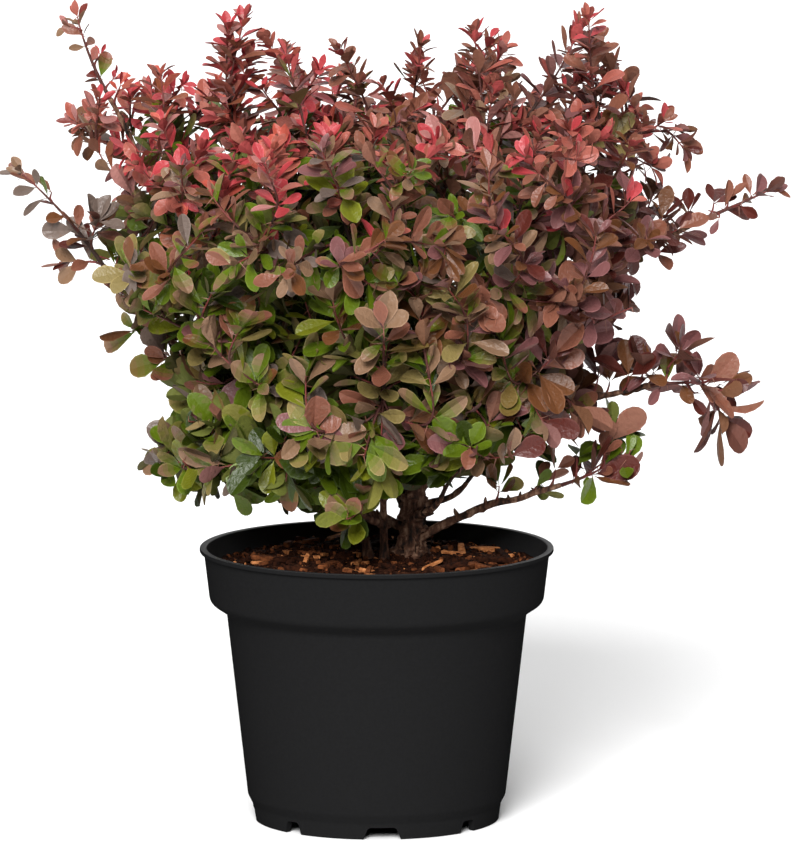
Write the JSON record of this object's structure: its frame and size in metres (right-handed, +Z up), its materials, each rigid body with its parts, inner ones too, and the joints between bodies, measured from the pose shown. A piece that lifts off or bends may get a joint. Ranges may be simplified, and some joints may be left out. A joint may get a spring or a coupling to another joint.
{
  "type": "potted atropurpurea nana japanese barberry",
  "caption": "Dwarf purple-leaved barberry shrub with a short trunk, spreading boughs and masses of small leaves, standing in a round black nursery pot of soil.",
  "frame": {"origin": "middle of the whole plant's box, on the ground under the pot", "axes": "+Z up, the side seen in the picture towards -Y, the long low spray to +X"},
  "size_m": [0.4197, 0.3496, 0.4415],
  "materials": {
    "pot": "satin black moulded plastic",
    "soil": "moist peat with bark chips",
    "bark": "rough brown bark",
    "foliage": "thin matt leaves, purple over green"
  },
  "bodies": {
    "root": {"pot": "pot", "soil": "soil", "trunk": "bark", "stem_short": "bark", "stem_thin": "bark", "bough_low_right": "bark", "bough_low_1": "bark", "bough_low_2": "bark", "bough_low_3": "bark", "bough_low_4": "bark", "bough_low_5": "bark", "bough_left_arm": "bark", "bough_right_spray": "bark", "bough_upper_1": "bark", "bough_upper_2": "bark", "bough_upper_3": "bark", "bough_upper_4": "bark", "bough_upper_5": "bark", "bough_upper_6": "bark", "bough_upper_7": "bark", "bough_top_1": "bark", "bough_top_2": "bark", "bough_middle_1": "bark", "bough_middle_2": "bark", "bough_middle_3": "bark", "bough_middle_4": "bark", "bough_middle_6": "bark", "bough_far_right": "bark", "bough_top_left": "bark", "foliage_low_1": "foliage", "foliage_low_2": "foliage", "foliage_low_3": "foliage", "foliage_low_4": "foliage", "foliage_low_5": "foliage", "foliage_middle_1": "foliage", "foliage_middle_2": "foliage", "foliage_middle_3": "foliage", "foliage_middle_4": "foliage", "foliage_middle_5": "foliage", "foliage_middle_6": "foliage", "foliage_upper_1": "foliage", "foliage_upper_2": "foliage", "foliage_upper_3": "foliage", "foliage_upper_4": "foliage", "foliage_upper_5": "foliage", "foliage_upper_6": "foliage", "foliage_upper_7": "foliage", "foliage_top_1": "foliage", "foliage_top_2": "foliage", "foliage_lower_left": "foliage", "foliage_low_right": "foliage", "foliage_left_arm": "foliage", "foliage_top_left": "foliage", "foliage_far_right": "foliage", "foliage_right_spray": "foliage"}
  },
  "joints": []
}
